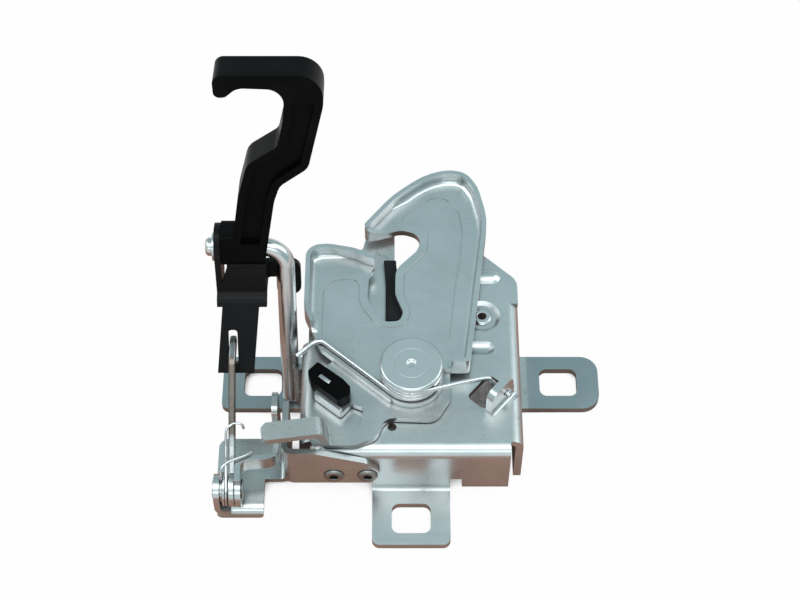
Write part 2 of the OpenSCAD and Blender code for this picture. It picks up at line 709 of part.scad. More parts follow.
pan_outline = [
    [14.8, 14, 4], [17.4, 40], [19.9, 56], [21, 68, 20], [19.8, 79, 12], [12.5, 89.2, 7], [-7.5, 73.4, 3],
    [7.2, 71, 5], [6.4, 59, 6], [-2.9, 48.5, 8], [-3, 38, 8], [-0.4, 30, 4], [-1.8, 23.6, 4], [-12.6, 22.2, 8],
    [-20.4, 34, 14], [-20, 46, 4], [hook_left + 7, 44.6, 7], [hook_left + 6.8, 18.5, 5], [-19, 5, 6],
    [-13, 7, 4], [-8, 15.5, 8], [8, 15.5, 8]];
module hook() {
    color("#9db6b8") at_pivot() difference() {
        union() {
            translate([0, 0, lever_top]) {
                linear_extrude(hook_t) rounded_shape(hook_outline);
                cylinder(h = hook_t, r = hub_r);
            }
            translate([0, 0, floor_top - hook_t / 2]) linear_extrude(rim_h + hook_t / 2) intersection() {
                difference() {
                    rounded_shape(hook_outline);
                    rounded_shape(inset(hook_outline, rim_t));
                }
                union() {
                    polygon(rim_right);
                    polygon(rim_left);
                }
            }
        }
        translate([0, 0, lever_top - past]) cylinder(h = hook_t + 2 * past, r = bush_d / 2 + running_fit);
        translate([0, 0, floor_top - pan_dip]) linear_extrude(pan_dip + past) rounded_shape(pan_outline);
        intersection() {
            translate([0, 0, floor_top]) linear_extrude(rim_h + past) polygon(mouth_side);
            along_y(55, 30) polygon([[-21, rim_top + past], [-21, rim_top], [-14, floor_top + rim_h * 0.4],
                [-9, floor_top], [0, floor_top], [0, rim_top + past]]);
        }
    }
}

// Release lever, with the seat for the clip, its lip, and the raised tab

clip_place = [-30, -2.5];
clip_turn = -39.5;
module at_clip() {
    translate([clip_place.x, clip_place.y, lever_top]) rotate([0, 0, clip_turn]) children();
}
clip_lip_y = -7.7;
lip_t = 1.4;
seat_l = [-3, 10.6];
tab_root = [-30.5, -24.8];
tab_turn = 188;

module lever_tab() {
    mid = lever_gap + lever_t / 2;
    translate([tab_root.x, tab_root.y, 0]) rotate([0, 0, tab_turn]) intersection() {
        along_y(-tab_w / 2, tab_w)
            ribbon([[-3, mid], [1.8, mid, lever_t / 2 + 1], [3.8, mid + tab_rise, lever_t / 2 + 1],
                    [tab_l, mid + tab_rise]], lever_t);
        linear_extrude(rim_top + tab_rise + lever_t)
            rounded_shape([[-past, -tab_w / 2 - 2], [tab_l - 2, -tab_w / 2, 1], [tab_l, -tab_w / 2 + 2, 2],
                           [tab_l, tab_w / 2, 3], [-past, tab_w / 2 + 2]]);
    }
}

module release_lever() {
    color("#9fbabd") at_pivot() difference() {
        union() {
            translate([0, 0, lever_gap]) linear_extrude(lever_t) {
                rounded_shape([
                    [14.8, -8, 4], [15, 6, 8], [2, 15, 8], [-22, 16, 4], [-33, 6.2, 1.5], [-30.6, 2.2, 0.6],
                    [-22.6, -10.2, 0.6], [-18, -12.3, 1.5], [-19.5, -19.8, 1.5], [tab_root.x, tab_root.y + tab_w / 2],
                    [tab_root.x, tab_root.y - tab_w / 2], [-21, -28.6, 9], [-13, -25, 6], [-10, -16.5, 5],
                    [9.5, -17.2, 6]]);
                translate(clip_place) rotate(clip_turn) rounded_shape([
                    [seat_l[0], clip_lip_y, 1], [seat_l[1], clip_lip_y, 1], [seat_l[1], 2.6, 1], [seat_l[0], 4.5]]);
            }
            at_clip() translate([seat_l[0] + 0.5, clip_lip_y, -lever_t / 2])
                cube([seat_l[1] - seat_l[0] - 1, lip_t, lever_t / 2 + 2.4]);
            lever_tab();
        }
        cylinder(h = 2 * lever_top, r = bush_d / 2 + running_fit, center = true);
    }
}

module cable_clip() {
    near = clip_lip_y + lip_t;
    color("#131417") at_pivot() at_clip() difference() {
        linear_extrude(clip_h) rounded_shape([
            [-9.2, -3.6, 1], [-5.2, near, 1], [8.4, near, 1.5], [10, -1.2, 1], [7.8, 1.4, 1], [3.4, 2.2, 0.6],
            [-9, 2, 1]]);
        translate([-2.2, -1.9, -past]) linear_extrude(clip_h + 2 * past) rounded_box(6.2, 2, 0.4);
    }
}

// Handle, in its own frame

arm_way = [-cos(arm_drop), -sin(arm_drop)];
plate_mid = plate_y - bracket_t / 2;
arm_start = [plate_mid - ledge_out, fold_z - ledge_drop];
arm_end = arm_start + arm_way * arm_l;
arm_left = arm_mid_x - arm_w / 2;
arm_skew = 3;
slot_from = 12;
slot_l = 14;
arm_slot_play = 0.4;
strip_in_slot = 6.5;
slot_spare = 0.2;
module handle_sheet_edge() {
    ribbon([[plate_mid, -3], [plate_mid, fold_z, 2.6], [arm_start.x, arm_start.y, bracket_t + 0.7], arm_end],
           bracket_t);
}

module handle_bracket() {
    t = bracket_t;
    stop_top = min(grip_low - 0.5, 0.7 - bar_bend_r);
    stop_low = fold_z - 8.7;
    wide_low = fold_z - ledge_drop - 2;
    slot_across = strip_t + 2 * arm_slot_play + slot_spare;
    stop_mid = stop_y + t / 2 - 1.1;
    color("#1b1c1f") at_handle() difference() {
        union() {
            intersection() {
                along_x(bracket_left, bracket_w) handle_sheet_edge();
                translate([bracket_left - past, -50, wide_low]) cube([bracket_w + 2 * past, 60, 40]);
            }
            intersection() {
                along_x(arm_left - arm_skew, arm_w + arm_skew) handle_sheet_edge();
                along_y(-60, 70) polygon([
                    [arm_left, -2], [arm_left, wide_low], [arm_left - arm_skew, arm_end.y - t],
                    [arm_left + arm_w - arm_skew, arm_end.y - t], [arm_left + arm_w, wide_low],
                    [arm_left + arm_w, -2]]);
            }
            along_x(bracket_left, t) rounded_shape([
                [plate_mid - t / 2, fold_z - t / 2], [3, -16, 4], [7, 0, 6], [5, 9.5, 5], [-5, 9.5, 5],
                [plate_mid - t / 2, 0, 2]]);
            translate([0, 0, fold_z]) linear_extrude(stop_top - fold_z)
                ribbon([[bracket_right - t / 2, plate_mid], [bracket_right - t / 2, stop_mid, t / 2 + 1],
                        [bracket_right + 6, stop_mid]], t);
            along_y(stop_mid - t / 2, t) rounded_shape([
                [bracket_right + 3, stop_low, 3], [bracket_right + 12.4, stop_low, 4],
                [bracket_right + 12.4, stop_top, 4], [bracket_right + 3, stop_top]]);
        }
        rod_x(bracket_left - past, t + 2 * past, bar_r + running_fit);
        along_y(-50, 60) polygon([[bracket_left + t, 0], [bracket_left + t, -12], [bracket_left + t + 2.2, -5],
                                  [bracket_left + t + 2.2, 0]]);
        translate([0, arm_start.x, arm_start.y]) rotate([arm_drop, 0, 0])
            translate([strip_x - arm_slot_play, -slot_from - slot_l, -5]) linear_extrude(10) rounded_shape([
                [0, 0, 1], [slot_across, 0, 1], [slot_across, slot_l, 1.2], [0, slot_l, 1.2]]);
    }
}

stem_right = bracket_right + 0.1;
bearing_left = bracket_left + bracket_t + side_play;
bearing_low = -4.8;
grip_low = -8.8;
grip_top = 80.5;
handle_outline = [
    [stem_right - 0.6, grip_low, 1.5], [stem_right + 0.2, 0, 20], [stem_right + 4.5, 26, 12],
    [stem_right + 6.8, 33, 6], [stem_right + 17.4, 41, 6], [stem_right + 23.6, 68, 12],
    [stem_right + 23.6, grip_top, 9], [stem_right - 14.8, grip_top, 3.4], [stem_right - 14.6, 71.4, 2.2],
    [stem_right - 10.6, 71.4, 3], [stem_right - 6.4, 75.3, 6], [stem_right + 10.4, 74.6, 6],
    [stem_right + 8.8, 60, 12], [stem_right + 6.6, 50.4, 4], [stem_right - 4.8, 42.4, 7],
    [stem_right - 8.8, 27, 14], [stem_right - 12.2, 5, 10], [stem_right - 12.4, grip_low, 1.5]];
module handle_grip() {
    color("#0f1012") at_handle() difference() {
        union() {
            along_y(-handle_t / 2, handle_t) rounded_shape(handle_outline);
            along_x(bearing_left, stem_right - 5 - bearing_left) rounded_shape([
                [-handle_t / 2, bearing_low, 1], [bar_r + 2.6, bearing_low, 2], [bar_r + 2.6, bearing_low + 14, 3],
                [-handle_t / 2, bearing_low + 14, 1.5]]);
        }
        along_y(-handle_t / 2 - past, channel_d + past) intersection() {
            rounded_shape(inset(handle_outline, 3));
            translate([stem_right - 30, 6]) square([70, 63]);
        }
        translate([bracket_left, -handle_t / 2 - past, -20])
            cube([bracket_w + 10, plate_y + handle_t / 2 + past + side_play, 17 + side_play]);
        rod_x(bracket_left - past, 40, handle_bush_r + press_fit);
    }
}

module handle_bush() {
    color("#8a8f8c") at_handle() difference() {
        rod_x(bearing_left, bend_x - 0.4 - bearing_left, handle_bush_r);
        rod_x(bearing_left - past, bend_x - bearing_left + 2 * past, bar_r + running_fit);
    }
}

// Crank, about its own axis

// A point [y, z] of the turned handle, seen from the crank's axis
function from_handle(p) = [
    handle_y - crank_y + p.x * cos(handle_lean) + p.y * sin(handle_lean),
    handle_z - crank_z - p.x * sin(handle_lean) + p.y * cos(handle_lean)];
strip_meet = from_handle(arm_start + arm_way * (slot_from + strip_in_slot));
strip_line = [[0, 0], [13.4, 10.5, 10], [strip_meet.x - 7.5, strip_meet.y, 5],
              [strip_meet.x + 3.3, strip_meet.y - 0.4]];
module crank_strip() {
    color("#a8a49c") at_crank() difference() {
        union() {
            along_x(strip_x, strip_t) ribbon(strip_line, strip_w);
            rod_x(strip_x, strip_t, eye_r);
        }
        rod_x(strip_x - past, strip_t + 2 * past, pin_r + running_fit);
    }
}

crank_arm_low = 3;
crank_arm_h = 7;
nose_from = 18.4;
nose_to = 28.4;
nose_top = tray_h + lever_gap + tab_rise - 1.5 - crank_z;
module crank_arm() {
    mid = crank_arm_x + crank_arm_t / 2;
    nose_mid = nose_right - crank_arm_t / 2;
    color("#b4babb") at_crank() difference() {
        union() {
            rod_x(crank_arm_x, crank_arm_t, eye_r);
            translate([0, 0, crank_arm_low]) linear_extrude(crank_arm_h)
                ribbon([[mid, -2], [mid, 7.4, 3.5], [nose_mid, 9, 4], [nose_mid, nose_to]], crank_arm_t);
            along_x(nose_right - crank_arm_t, crank_arm_t) rounded_shape([
                [nose_from, crank_arm_low], [nose_to, crank_arm_low, 2], [nose_to, nose_top, 3],
                [nose_from, nose_top, 3]]);
        }
        rod_x(crank_arm_x - past, crank_arm_t + 2 * past, pin_r + running_fit);
    }
}

// Thin return spring round the spacer, with one arm over the strip and one over the crank arm
thin_r = thin_wire_d / 2;
thin_coil_r = pin_r + 1.9 + 0.7 + thin_r;
thin_left = strip_x - side_play - spacer_l + thin_r + 0.15;
thin_pitch = thin_wire_d + 0.05;
thin_turns = 2;
thin_steps = 30;
function thin_point(f) =
    let (a = 130 - f * (360 * thin_turns + 10))
    [thin_left + f * thin_turns * thin_pitch, thin_coil_r * cos(a), thin_coil_r * sin(a)];
over_arm = crank_arm_low + crank_arm_h + thin_r + 0.3;
thin_path = concat(
    [[crank_arm_x + 6.4, 10, over_arm + 0.4], [crank_arm_x + 4, 8.4, over_arm + 0.5],
     [strip_x, 5.2, over_arm + 0.6], [thin_left + 0.3, 2.6, over_arm - 0.6]],
    [for (i = [2:thin_steps]) thin_point(i / thin_steps)],
    [[strip_x - 0.9, 6.6, 8.2], [strip_x - 0.9, 12, 12.4], [strip_x - 0.7, 16.6, 15.8],
     [strip_x + 0.8, 18, 17], [strip_x + strip_t, 19, 17.2], [strip_x + strip_t + 2.4, 19, 16.4],
     [strip_x + strip_t + 3.2, 18.4, 14.2]]);
module crank_spring() {
    color("#b3b3ae") at_crank() wire(thin_path, thin_r, [1, 0.2, -0.3]);
}

base_plate();
slot_buffer();
boss_rivet();
pivot_rivet();
pivot_bush();
main_spring();
support_rod();
rod_weld();
rod_end_ring();
crank_bracket();
bracket_rivets();
crank_pin();
crank_spacer();
hook();
release_lever();
cable_clip();
handle_bracket();
handle_grip();
handle_bush();
crank_strip();
crank_arm();
crank_spring();
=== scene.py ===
import bmesh
import bpy
import json
import math
from mathutils import Matrix, Vector


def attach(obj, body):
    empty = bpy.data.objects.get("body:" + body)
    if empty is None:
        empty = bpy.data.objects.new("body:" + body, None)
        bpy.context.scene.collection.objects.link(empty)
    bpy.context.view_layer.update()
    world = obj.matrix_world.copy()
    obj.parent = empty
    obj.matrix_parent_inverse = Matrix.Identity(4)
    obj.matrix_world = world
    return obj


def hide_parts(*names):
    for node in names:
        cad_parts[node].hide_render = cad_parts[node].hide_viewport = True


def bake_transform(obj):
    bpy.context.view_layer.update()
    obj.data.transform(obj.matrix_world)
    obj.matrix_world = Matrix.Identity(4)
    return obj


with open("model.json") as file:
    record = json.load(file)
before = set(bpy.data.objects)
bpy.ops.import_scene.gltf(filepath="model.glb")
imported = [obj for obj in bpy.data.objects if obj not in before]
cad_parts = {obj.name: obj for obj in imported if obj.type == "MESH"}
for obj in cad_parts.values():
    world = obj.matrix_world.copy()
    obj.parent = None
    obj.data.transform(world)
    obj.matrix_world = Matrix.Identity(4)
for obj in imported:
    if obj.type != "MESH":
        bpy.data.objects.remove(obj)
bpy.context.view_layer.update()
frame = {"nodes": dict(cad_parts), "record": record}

MM = 0.001

# Places shared with the solids, in millimetres in the latch's frame; turns are in degrees
PIVOT = Vector((0, -18, 30))
CRANK = Vector((0, -53.4, 12))
HOOK_LEFT = -41.6
HOOK_FLOOR = 6.5

BAR_FOOT = Vector((-47.6, -8.2, 6))
BAR_LEAN = 21.5
BAR_R = 3.5
BAR_GAP = 1.6

CLIP_PLACE = Vector((-30, -20.5, 33.5))
CLIP_TURN = -39.5
CLIP_SLOT = Vector((-2.2, -1.9, 5.0))

STRIP_X = -69.5
STRIP_T = 2.5
CRANK_ARM_X = STRIP_X + STRIP_T + 0.1

# Lug that holds the main spring's still arm: its foot and turn, and its eye's way along it, from the pivot
LUG_FOOT = Vector((28.3, -11.2, 5.4))
LUG_TURN = 50
LUG_EYE = 8.4

# Wires, bead and slot metal, in millimetres
MAIN_WIRE_R = 0.98
CRANK_WIRE_R = 0.48
WELD_R = 2.2
WELD_SINK = 1.8
WELD_FORWARD = 1.4
WELD_HEIGHTS = (0, 4, 8, 12, 16)
WELD_RIPPLE = 0.07
WELD_RIPPLE_LENGTH = 1.5
CABLE_END = Vector((5.4, 2.1, 1.0))
CABLE_END_EDGE = 0.3

# Clean-up of a solid's mesh, in metres and degrees, and the least turn of a hollow corner
MERGE = 2e-6
FLAT = 0.6
HOLLOW = 60

# Colour sockets of a Mix node
MIX_SHARE, MIX_FIRST, MIX_SECOND = 0, 6, 7
MIX_RESULT = 2

# Camera: the photograph's own view, in metres and degrees
CAMERA_AT = (-0.0043, -0.3772, 0.6115)
CAMERA_PITCH = 34.45
CAMERA_LENS = 79.93
CAMERA_SENSOR = 36


# Meshes

def link(obj):
    bpy.context.scene.collection.objects.link(obj)
    return obj


def baked(obj):
    """Turns an object with modifiers into a plain mesh object of the same name."""
    bpy.context.view_layer.update()
    graph = bpy.context.evaluated_depsgraph_get()
    mesh = bpy.data.meshes.new_from_object(obj.evaluated_get(graph), depsgraph=graph)
    name = obj.name
    bpy.data.objects.remove(obj)
    mesh.name = name
    return link(bpy.data.objects.new(name, mesh))


def smooth(obj, angle=32):
    """Smooth shading, with edges sharper than the angle kept crisp."""
    mesh = obj.data
    mesh.polygons.foreach_set("use_smooth", [True] * len(mesh.polygons))
    mesh.set_sharp_from_angle(angle=math.radians(angle))
    return obj


def hollow_edges(work, low, high, keep_clear):
    """Edges where two faces meet in a hollow corner, between two heights and outside a box on X and Y."""
    x_low, x_high, y_low, y_high = keep_clear

    def wanted(place):
        x, y, z = place / MM
        return low < z < high and not (x_low < x < x_high and y_low < y < y_high)

    return [edge for edge in work.edges
            if len(edge.link_faces) == 2 and edge.calc_face_angle_signed(0) < -math.radians(HOLLOW)
            and all(wanted(v.co) for v in edge.verts)]


def eased(node, width, segments=2, angle=28, fillet=None):
    """A copy of a solid whose sharp edges are eased to a width in millimetres.

    A fillet is (radius, low, high, keep_clear). Hollow corners between the two heights, outside the
    box that is kept clear, are first filled to the radius.
    """
    mesh = frame["nodes"][node].data.copy()
    mesh.materials.clear()
    work = bmesh.new()
    work.from_mesh(mesh)
    bmesh.ops.remove_doubles(work, verts=work.verts, dist=MERGE)
    bmesh.ops.dissolve_limit(work, angle_limit=math.radians(FLAT), verts=work.verts, edges=work.edges)
    if fillet:
        radius, *limits = fillet
        bmesh.ops.bevel(work, geom=hollow_edges(work, *limits), offset=radius * MM, segments=5,
                        profile=0.5, affect="EDGES", clamp_overlap=False)
        bmesh.ops.remove_doubles(work, verts=work.verts, dist=MERGE)
    work.to_mesh(mesh)
    work.free()
    obj = smooth(link(bpy.data.objects.new(node + "_finished", mesh)))
    bevel = obj.modifiers.new("eased edges", "BEVEL")
    bevel.width = width * MM
    bevel.segments = segments
    bevel.limit_method = "ANGLE"
    bevel.angle_limit = math.radians(angle)
    bevel.use_clamp_overlap = True
    bevel.miter_outer = "MITER_ARC"
    even = obj.modifiers.new("flat faces stay flat", "WEIGHTED_NORMAL")
    even.weight = 80
    even.keep_sharp = True
    return baked(obj)


# Node trees

def new_group(name, inputs, outputs):
    """A shader group with named inputs, each with its plain value, and named outputs."""
    tree = bpy.data.node_groups.new(name, "ShaderNodeTree")
    for label, kind, value in inputs:
        tree.interface.new_socket(label, in_out="INPUT", socket_type=kind).default_value = value
    for label, kind in outputs:
        tree.interface.new_socket(label, in_out="OUTPUT", socket_type=kind)
    return tree, tree.nodes.new("NodeGroupInput"), tree.nodes.new("NodeGroupOutput")


def add(tree, kind, links=None, **settings):
    """A node with its settings, and its inputs linked to sockets or set to values."""
    node = tree.nodes.new(kind)
    for key, value in settings.items():
        setattr(node, key, value)
    for key, value in (links or {}).items():
        socket = node.inputs[key]
        if isinstance(value, bpy.types.NodeSocket):
            tree.links.new(value, socket)
        else:
            socket.default_value = value
    return node


def mixed(tree, share, first, second):
    """Two colours mixed by a share; each colour is a socket or a value."""
    mix = add(tree, "ShaderNodeMix", data_type="RGBA")
    for place, value in ((MIX_SHARE, share), (MIX_FIRST, first), (MIX_SECOND, second)):
        if isinstance(value, bpy.types.NodeSocket):
            tree.links.new(value, mix.inputs[place])
        else:
            mix.inputs[place].default_value = value
    return mix.outputs[MIX_RESULT]


def rgba(r, g, b):
    return (r, g, b, 1)


# Wires and beads that follow a path

def tree_of(name, inputs):
    """A geometry tree with named inputs; it takes and gives geometry."""
    tree = bpy.data.node_groups.new(name, "GeometryNodeTree")
    tree.interface.new_socket("Geometry", in_out="INPUT", socket_type="NodeSocketGeometry")
    for label, kind in inputs:
        tree.interface.new_socket(label, in_out="INPUT", socket_type=kind)
    tree.interface.new_socket("Geometry", in_out="OUTPUT", socket_type="NodeSocketGeometry")
    return tree, tree.nodes.new("NodeGroupInput"), tree.nodes.new("NodeGroupOutput")


def bead_tree():
    """A round section swept along a smooth path, with its radius swelling in even ripples."""
    tree, inp, out = tree_of("swept bead", [
        ("Radius", "NodeSocketFloat"), ("Step", "NodeSocketFloat"), ("Sides", "NodeSocketInt"),
        ("Ripple", "NodeSocketFloat"), ("Ripple Length", "NodeSocketFloat"),
        ("Material", "NodeSocketMaterial")])
    path = add(tree, "GeometryNodeCurveSplineType", {"Curve": inp.outputs["Geometry"]},
               spline_type="CATMULL_ROM")
    even = add(tree, "GeometryNodeResampleCurve",
               {"Curve": path.outputs["Curve"], "Length": inp.outputs["Step"]}, mode="LENGTH")
    along = tree.nodes.new("GeometryNodeSplineParameter")
    turns = add(tree, "ShaderNodeMath", {0: along.outputs["Length"], 1: inp.outputs["Ripple Length"]},
                operation="DIVIDE")
    angle = add(tree, "ShaderNodeMath", {0: turns.outputs[0], 1: 2 * math.pi}, operation="MULTIPLY")
    wave = add(tree, "ShaderNodeMath", {0: angle.outputs[0]}, operation="SINE")
    swell = add(tree, "ShaderNodeMath", {0: wave.outputs[0], 1: inp.outputs["Ripple"], 2: 1.0},
                operation="MULTIPLY_ADD")
    rippled = add(tree, "GeometryNodeSetCurveRadius",
                  {"Curve": even.outputs["Curve"], "Radius": swell.outputs[0]})
    section = add(tree, "GeometryNodeCurvePrimitiveCircle",
                  {"Resolution": inp.outputs["Sides"], "Radius": inp.outputs["Radius"]})
    bead = add(tree, "GeometryNodeCurveToMesh",
               {"Curve": rippled.outputs["Curve"], "Profile Curve": section.outputs["Curve"],
                "Fill Caps": True})
    whole = add(tree, "GeometryNodeRealizeInstances", {"Geometry": bead.outputs["Mesh"]})
    finished = add(tree, "GeometryNodeSetMaterial",
                   {"Geometry": whole.outputs["Geometry"], "Material": inp.outputs["Material"]})
    tree.links.new(finished.outputs["Geometry"], out.inputs["Geometry"])
    return tree


def swept(name, path, values):
    """The bead tree run along a path given in millimetres, as a plain mesh object."""
    curve = bpy.data.curves.new(name, "CURVE")
    curve.dimensions = "3D"
    spline = curve.splines.new("POLY")
    spline.points.add(len(path) - 1)
    for point, place in zip(spline.points, path):
        point.co = (*(Vector(place) * MM), 1)
        point.radius = 1.0
    obj = link(bpy.data.objects.new(name, curve))
    modifier = obj.modifiers.new("swept bead", "NODES")
    modifier.node_group = BEAD
    for item in BEAD.interface.items_tree:
        if item.in_out == "INPUT" and item.name in values:
            modifier[item.identifier] = values[item.name]
    return smooth(baked(obj), 50)


def main_spring_path():
    """Hooked end, arm along the hook, coil round the bush, and arm through the lug's eye."""
    start, radius, low, turns, pitch, steps = 229, 10.8, 7.6, 2.154, 2.05, 48

    def round_at(f):
        a = math.radians(start + f * turns * 360)
        return Vector((radius * math.cos(a), radius * math.sin(a), low + f * turns * pitch))

    a = math.radians(start)
    way = Vector((-math.sin(a), math.cos(a), 0))

    def arm(length):
        return round_at(0) - way * length

    turn = math.radians(LUG_TURN)
    lug_way = Vector((math.cos(turn), math.sin(turn), 0))
    lug_square = Vector((math.sin(turn), -math.cos(turn), 0))

    def by_eye(along, across, up):
        return LUG_FOOT + lug_way * (LUG_EYE + along) + lug_square * across + Vector((0, 0, up))

    corner = Vector((HOOK_LEFT, 0, HOOK_FLOOR))
    tail = [(-2.5, 11.4, -3.3), (1.4, 13.4, -0.9), (4.2, 14.7, 0.8), (6.6, 15.1, 1.4), (8.4, 14.4, 1.25)]
    points = [corner + Vector(p) for p in tail] + [arm(31), arm(21), arm(11)]
    points += [round_at(i / steps) for i in range(steps + 1)]
    points += [by_eye(-3.5, -6.5, 4.6), by_eye(-0.8, -3.6, 2.4), by_eye(0, -1.5, 0.2), by_eye(0, 5, -0.1)]
    return [p + PIVOT for p in points]


def crank_spring_path():
    """Short arm over the crank arm, two turns round the spacer, and a long arm hooked over the strip."""
    radius, left, turns, pitch, steps = 6.1, STRIP_X - 2.75, 2, 1.05, 48

    def round_at(f):
        a = math.radians(130 - f * (360 * turns + 10))
        return Vector((left + f * turns * pitch, radius * math.cos(a), radius * math.sin(a)))

    over = 10.8
    right = STRIP_X + STRIP_T
    points = [(CRANK_ARM_X + 6.4, 10, over + 0.4), (CRANK_ARM_X + 4, 8.4, over + 0.5),
              (STRIP_X, 5.2, over + 0.6), (left + 0.3, 2.6, over - 0.6)]
    points += [round_at(i / steps) for i in range(3, steps + 1)]
    points += [(STRIP_X - 0.9, 6.6, 8.2), (STRIP_X - 0.9, 12, 12.4), (STRIP_X - 0.7, 16.6, 15.8),
               (STRIP_X + 0.8, 18, 17), (right, 19, 17.2), (right + 2.4, 19, 16.4),
               (right + 3.2, 18.4, 14.2)]
    return [Vector(p) + CRANK for p in points]


def weld_path():
    """The line of the bead up the bar, in the nook between the bar and the left wall."""
    turn = Matrix.Rotation(math.radians(-BAR_LEAN), 3, "X")
    aside = BAR_R + BAR_GAP - WELD_SINK
    return [BAR_FOOT + turn @ Vector((aside, WELD_FORWARD - BAR_R, h)) for h in WELD_HEIGHTS]


# Materials

def band_of(tree, noise, low, high):
    """A mask that rises from 0 to 1 while the noise goes from low to high."""
    mask = add(tree, "ShaderNodeMapRange", {"Value": noise.outputs["Fac"], "From Min": low, "From Max": high})
    return mask.outputs["Result"]


def plating_group():
    """Zinc plating: cloudy colour, drawn streaks, fine specks of grime, and a satin that varies."""
    tree, inp, out = new_group(
        "zinc plating",
        [("Coordinates", "NodeSocketVector", (0, 0, 0)),
         ("Clear", "NodeSocketColor", rgba(0.6, 0.7, 0.7)),
         ("Cloudy", "NodeSocketColor", rgba(0.5, 0.6, 0.6)),
         ("Grime", "NodeSocketColor", rgba(0.2, 0.2, 0.2)),
         ("Cloud Size", "NodeSocketFloat", 60.0), ("Grime Amount", "NodeSocketFloat", 0.3),
         ("Satin", "NodeSocketFloat", 0.3), ("Streaks", "NodeSocketFloat", 0.1)],
        [("Color", "NodeSocketColor"), ("Roughness", "NodeSocketFloat"), ("Height", "NodeSocketFloat")])
    where = inp.outputs["Coordinates"]
    cloud = add(tree, "ShaderNodeTexNoise",
                {"Vector": where, "Scale": inp.outputs["Cloud Size"], "Detail": 5.0, "Roughness": 0.6})
    colour = mixed(tree, band_of(tree, cloud, 0.36, 0.66), inp.outputs["Clear"], inp.outputs["Cloudy"])

    fleck = add(tree, "ShaderNodeTexNoise",
                {"Vector": where, "Scale": 420.0, "Detail": 3.0, "Roughness": 0.7})
    patch = add(tree, "ShaderNodeTexNoise", {"Vector": where, "Scale": 38.0, "Detail": 3.0})
    flecks = band_of(tree, fleck, 0.56, 0.72)
    patches = band_of(tree, patch, 0.47, 0.68)
    grime = add(tree, "ShaderNodeMath", {0: flecks, 1: patches}, operation="MULTIPLY")
    smudge = add(tree, "ShaderNodeMath", {0: patches, 1: 0.45, 2: grime.outputs[0]},
                 operation="MULTIPLY_ADD")
    amount = add(tree, "ShaderNodeMath", {0: smudge.outputs[0], 1: inp.outputs["Grime Amount"]},
                 operation="MULTIPLY", use_clamp=True)
    grimy = mixed(tree, amount.outputs[0], colour, inp.outputs["Grime"])

    drawn = add(tree, "ShaderNodeMapping", {"Vector": where, "Scale": (90.0, 900.0, 900.0)})
    streak = add(tree, "ShaderNodeTexNoise",
                 {"Vector": drawn.outputs["Vector"], "Scale": 1.0, "Detail": 2.0})
    streak_part = add(tree, "ShaderNodeMath", {0: streak.outputs["Fac"], 1: 0.5}, operation="SUBTRACT")
    streak_amount = add(tree, "ShaderNodeMath",
                        {0: streak_part.outputs[0], 1: inp.outputs["Streaks"], 2: inp.outputs["Satin"]},
                        operation="MULTIPLY_ADD")
    rough = add(tree, "ShaderNodeMath", {0: amount.outputs[0], 1: 0.35, 2: streak_amount.outputs[0]},
                operation="MULTIPLY_ADD", use_clamp=True)
    height = add(tree, "ShaderNodeMath", {0: cloud.outputs["Fac"], 1: streak.outputs["Fac"]},
                 operation="ADD")
    tree.links.new(grimy, out.inputs["Color"])
    tree.links.new(rough.outputs[0], out.inputs["Roughness"])
    tree.links.new(height.outputs[0], out.inputs["Height"])
    return tree


def grain_group():
    """Moulded or coated black: a fine leathery grain with paler rubbed patches."""
    tree, inp, out = new_group(
        "fine grain",
        [("Coordinates", "NodeSocketVector", (0, 0, 0)),
         ("Deep", "NodeSocketColor", rgba(0.02, 0.02, 0.02)),
         ("Rubbed", "NodeSocketColor", rgba(0.05, 0.05, 0.05)),
         ("Grain Size", "NodeSocketFloat", 1600.0), ("Matt", "NodeSocketFloat", 0.5)],
        [("Color", "NodeSocketColor"), ("Roughness", "NodeSocketFloat"), ("Height", "NodeSocketFloat")])
    where = inp.outputs["Coordinates"]
    cells = add(tree, "ShaderNodeTexVoronoi", {"Vector": where, "Scale": inp.outputs["Grain Size"]})
    rub = add(tree, "ShaderNodeTexNoise", {"Vector": where, "Scale": 70.0, "Detail": 4.0})
    rubbed = band_of(tree, rub, 0.45, 0.75)
    colour = mixed(tree, rubbed, inp.outputs["Deep"], inp.outputs["Rubbed"])
    rough = add(tree, "ShaderNodeMath", {0: rubbed, 1: -0.12, 2: inp.outputs["Matt"]},
                operation="MULTIPLY_ADD", use_clamp=True)
    tree.links.new(colour, out.inputs["Color"])
    tree.links.new(rough.outputs[0], out.inputs["Roughness"])
    tree.links.new(cells.outputs["Distance"], out.inputs["Height"])
    return tree


def zone_group():
    """A soft-edged band across the piece, measured on either side of its middle, where painted shade goes."""
    tree, inp, out = new_group(
        "painted shade band",
        [("Coordinates", "NodeSocketVector", (0, 0, 0)), ("Along", "NodeSocketVector", (1, 0, 0)),
         ("From", "NodeSocketFloat", 0.0), ("To", "NodeSocketFloat", 1.0),
         ("Edge", "NodeSocketFloat", 0.002)],
        [("Share", "NodeSocketFloat")])
    along = add(tree, "ShaderNodeVectorMath", {0: inp.outputs["Coordinates"], 1: inp.outputs["Along"]},
                operation="DOT_PRODUCT")
    reach = add(tree, "ShaderNodeMath", {0: along.outputs["Value"]}, operation="ABSOLUTE")
    shares = []
    for near in ("From", "To"):
        end = add(tree, "ShaderNodeMath", {0: inp.outputs[near], 1: inp.outputs["Edge"]}, operation="ADD")
        step = add(tree, "ShaderNodeMapRange",
                   {"Value": reach.outputs[0], "From Min": inp.outputs[near], "From Max": end.outputs[0]},
                   interpolation_type="SMOOTHSTEP")
        shares.append(step.outputs["Result"])
    inside = add(tree, "ShaderNodeMath", {0: shares[0], 1: shares[1]}, operation="SUBTRACT", use_clamp=True)
    tree.links.new(inside.outputs[0], out.inputs["Share"])
    return tree


